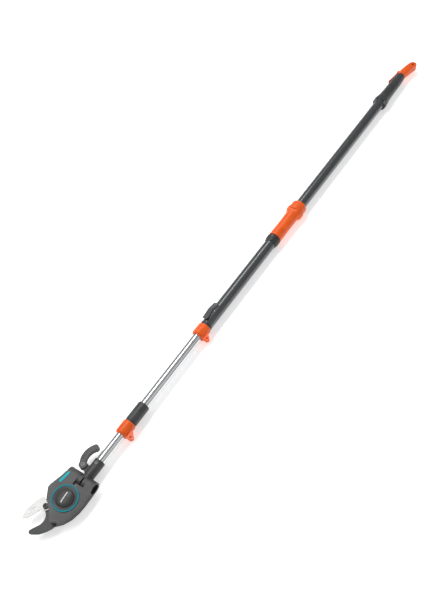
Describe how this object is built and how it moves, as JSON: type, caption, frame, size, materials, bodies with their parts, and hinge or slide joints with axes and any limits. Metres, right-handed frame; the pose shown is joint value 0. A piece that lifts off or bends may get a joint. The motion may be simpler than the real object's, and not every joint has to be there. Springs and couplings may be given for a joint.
{
  "type": "telescoping pole pruner",
  "caption": "Long telescoping pole with a tilting bypass cutting head, worked by a sliding handle on the pole through a cord inside it.",
  "frame": {"origin": "centre of the hanging hole in the end handle", "axes": "+X runs along the pole from the end handle to the cutting head, +Z is the hanging hole's axis and leaves the domed cover side of the head"},
  "size_m": [2.158, 0.117, 0.0589],
  "materials": {
    "graphite_tube": "satin anodised",
    "soft_grip": "fine grain, soft touch",
    "orange_plastic": "satin moulded",
    "black_plastic": "matte moulded",
    "grey_plastic": "fine grain moulded",
    "housing_plastic": "fine grain moulded",
    "light_grey_plastic": "fine grain moulded",
    "silver_tube": "bright anodised",
    "steel": "zinc plated",
    "blade_steel": "coated and ground",
    "hook_steel": "dark coating",
    "drum_plastic": "moulded",
    "cord": "braided",
    "teal": "gloss moulded",
    "bright_teal": "gloss moulded",
    "white_mark": "gloss moulded"
  },
  "bodies": {
    "pole": {"outer_tube": "graphite_tube", "end_grip": "soft_grip", "grip_rivet": "steel", "parking_collar": "black_plastic", "outer_collet": "black_plastic", "latch_saddle": "soft_grip", "latch_pin": "steel"},
    "end_handle": {"end_handle": "orange_plastic", "end_cord": "cord"},
    "handle_latch": {"handle_latch": "orange_plastic"},
    "slide_handle": {"slide_handle": "orange_plastic", "slide_liners": "black_plastic", "cord_carrier": "black_plastic", "pull_strap": "cord"},
    "park_button": {"park_button": "light_grey_plastic"},
    "tube_latch": {"tube_latch": "light_grey_plastic"},
    "rear_collar": {"rear_lock_collar": "orange_plastic"},
    "middle_tube": {"middle_tube": "silver_tube", "middle_tail_bush": "black_plastic", "middle_sleeve": "graphite_tube", "middle_collet": "black_plastic"},
    "front_collar": {"front_lock_collar": "orange_plastic"},
    "inner_tube": {"inner_tube": "silver_tube", "inner_tail_plug": "black_plastic", "inner_cord": "cord", "knuckle": "grey_plastic", "knuckle_screw": "steel", "lever_bolt": "steel"},
    "lock_lever": {"lock_lever": "grey_plastic"},
    "head": {"tilt_pins": "steel", "pin_cap": "black_plastic", "housing_top": "housing_plastic", "housing_bottom": "housing_plastic", "housing_screws": "steel", "drum_axle": "steel", "return_spring": "steel", "roller_pin": "steel", "head_cord": "cord", "counter_blade": "hook_steel", "blade_bolt": "black_plastic", "blade_nut": "steel", "dome_cover": "housing_plastic", "dial_ring": "teal", "dome_strip": "white_mark", "side_strip": "bright_teal"},
    "drum": {"drum": "drum_plastic", "drum_cord": "cord"},
    "guide_roller": {"guide_roller": "white_mark"},
    "blade": {"blade": "blade_steel"}
  },
  "joints": [
    {"name": "slide_pull", "type": "slide", "parent": "pole", "child": "slide_handle", "axis": [-1, 0, 0], "range_m": [0, 0.09], "stiffness_N_per_m": 60},
    {"name": "end_pull", "type": "slide", "parent": "pole", "child": "end_handle", "axis": [-1, 0, 0], "range_m": [0, 0.35]},
    {"name": "latch_lift", "type": "hinge", "parent": "end_handle", "child": "handle_latch", "pos_m": [0.06, -0.0315, 0], "axis": [0, 0, -1], "range_deg": [0, 8], "stiffness_Nm_per_rad": 0.3},
    {"name": "park_press", "type": "slide", "parent": "pole", "child": "park_button", "axis": [0, 0, -1], "range_m": [0, 0.0015], "stiffness_N_per_m": 400},
    {"name": "tube_latch_press", "type": "hinge", "parent": "pole", "child": "tube_latch", "pos_m": [1.3517, -0.02313, 0.01958], "axis": [0, 0.9063, 0.4226], "range_deg": [-3, 3], "stiffness_Nm_per_rad": 0.6},
    {"name": "rear_collar_turn", "type": "hinge", "parent": "pole", "child": "rear_collar", "pos_m": [1.42, -0.014, 0], "axis": [1, 0, 0], "range_deg": [0, 60]},
    {"name": "middle_extend", "type": "slide", "parent": "pole", "child": "middle_tube", "axis": [1, 0, 0], "range_m": [0, 0.9]},
    {"name": "front_collar_turn", "type": "hinge", "parent": "middle_tube", "child": "front_collar", "pos_m": [1.79, -0.014, 0], "axis": [1, 0, 0], "range_deg": [0, 60]},
    {"name": "inner_extend", "type": "slide", "parent": "middle_tube", "child": "inner_tube", "axis": [1, 0, 0], "range_m": [0, 0.9]},
    {"name": "lever_open", "type": "hinge", "parent": "inner_tube", "child": "lock_lever", "pos_m": [1.93, -0.046, 0], "axis": [0, 0, 1], "range_deg": [0, 60]},
    {"name": "head_tilt", "type": "hinge", "parent": "inner_tube", "child": "head", "pos_m": [1.966, -0.014, 0], "axis": [0, 1, 0], "range_deg": [-90, 90]},
    {"name": "drum_turn", "type": "hinge", "parent": "head", "child": "drum", "pos_m": [2.028, -0.02, 0], "axis": [0, 0, 1], "range_deg": [-168.5, 0]},
    {"name": "roller_turn", "type": "hinge", "parent": "head", "child": "guide_roller", "pos_m": [1.989, -0.0196, 0], "axis": [0, 0, 1], "range_deg": [-1015, 0]},
    {"name": "blade_close", "type": "hinge", "parent": "head", "child": "blade", "pos_m": [2.068, -0.056, 0], "axis": [0, 0, 1], "range_deg": [0, 42.1]}
  ],
  "couplings": [
    {"joint": "blade_close", "follows": "slide_pull", "rad_per_m": 8.1449},
    {"joint": "drum_turn", "follows": "slide_pull", "rad_per_m": -32.579},
    {"joint": "roller_turn", "follows": "slide_pull", "rad_per_m": -196.08}
  ]
}
